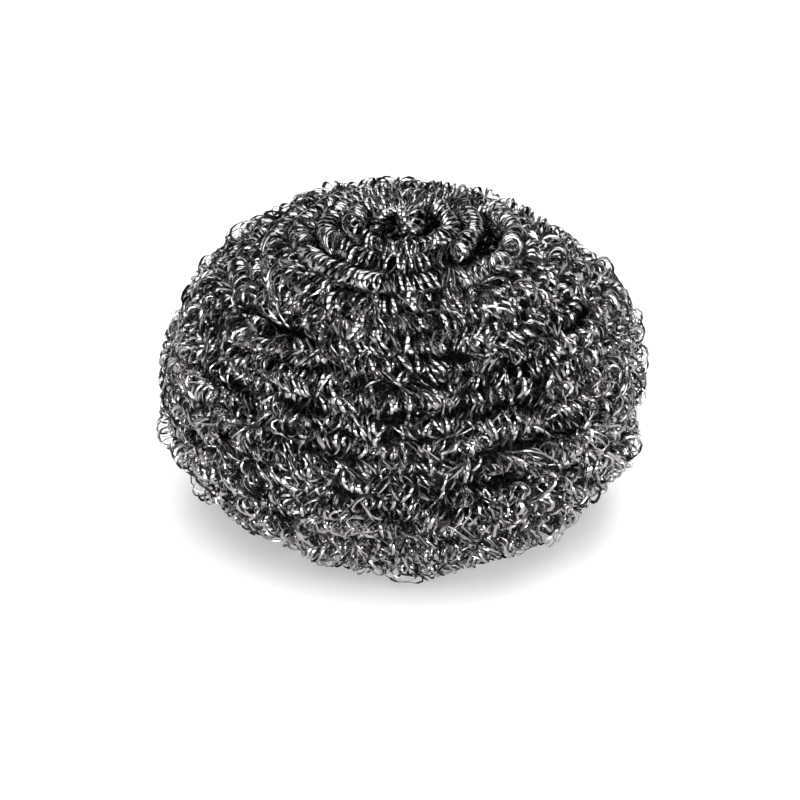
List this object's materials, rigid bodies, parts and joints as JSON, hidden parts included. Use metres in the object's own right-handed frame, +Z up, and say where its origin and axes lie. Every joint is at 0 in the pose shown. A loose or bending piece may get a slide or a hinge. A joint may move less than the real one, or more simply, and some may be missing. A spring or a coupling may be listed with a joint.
{
  "type": "spiral scourer",
  "caption": "Flattened ball of coiled stainless-steel strands wound in spiral loops, with a rose of curls at the crown; a pot scrubber held in the hand.",
  "frame": {"origin": "middle of the box round the ball, on the floor", "axes": "+Z up through the crown, +X along the ball's longest width, which lies across the picture"},
  "size_m": [0.1199, 0.1099, 0.0834],
  "materials": {
    "coil_steel": "bright drawn ribbon",
    "crown_steel": "bright drawn ribbon",
    "tie_steel": "bright drawn ribbon",
    "inner_steel": "bright drawn ribbon, in shade"
  },
  "bodies": {
    "ball": {"core_wad": "inner_steel", "tie_strand": "tie_steel", "shoulder_coil": "coil_steel", "upper_side_coil": "coil_steel", "upper_belly_coil": "coil_steel", "belly_coil": "coil_steel", "lower_belly_coil": "coil_steel", "heel_coil": "coil_steel", "base_coil": "coil_steel"},
    "crown": {"crown_coil": "crown_steel"}
  },
  "joints": [
    {"name": "crown_press", "type": "slide", "parent": "ball", "child": "crown", "axis": [0, 0, -1], "range_m": [0, 0.012], "stiffness_N_per_m": 400, "deforming": ["core_wad", "tie_strand"]}
  ]
}
